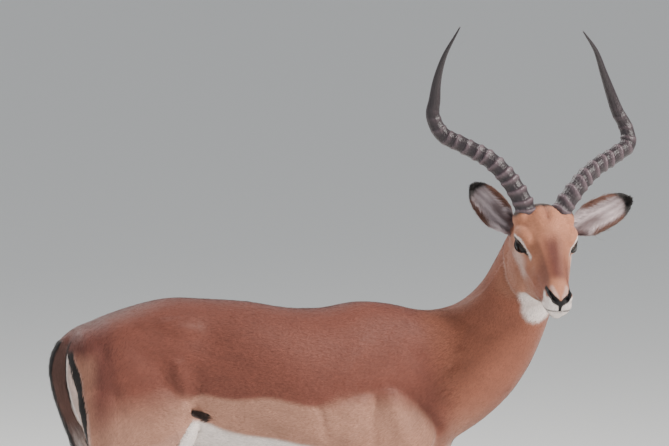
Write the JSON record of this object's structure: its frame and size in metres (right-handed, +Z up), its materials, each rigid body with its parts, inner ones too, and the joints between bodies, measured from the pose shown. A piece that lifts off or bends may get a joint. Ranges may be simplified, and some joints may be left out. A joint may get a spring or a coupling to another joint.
{
  "type": "impala antelope",
  "caption": "Life-size impala ram standing square on four hooves, its head turned to its right, with lyre-shaped ridged horns, as a still model.",
  "frame": {"origin": "on the ground under the middle of the model's box", "axes": "+Z up; +X along the trunk towards the chest; +Y to the animal's left. The head is turned towards -Y."},
  "size_m": [1.1982, 0.413, 1.4514],
  "materials": {
    "coat": "short rufous and fawn fur",
    "horn": "dark ridged horn, smooth and glossy towards the tips",
    "hoof": "black, faintly glossy",
    "eye": "wet, very dark brown"
  },
  "bodies": {
    "root": {"head": "coat", "neck": "coat", "trunk": "coat", "tail": "coat", "leg_fore_right": "coat", "leg_fore_left": "coat", "leg_hind_right": "coat", "leg_hind_left": "coat", "ear_right": "coat", "ear_left": "coat", "eye_right": "eye", "eye_left": "eye", "horn_right": "horn", "horn_left": "horn", "hoof_fore_right_inner": "hoof", "hoof_fore_right_outer": "hoof", "hoof_fore_left_inner": "hoof", "hoof_fore_left_outer": "hoof", "hoof_hind_right_inner": "hoof", "hoof_hind_right_outer": "hoof", "hoof_hind_left_inner": "hoof", "hoof_hind_left_outer": "hoof"}
  },
  "joints": []
}
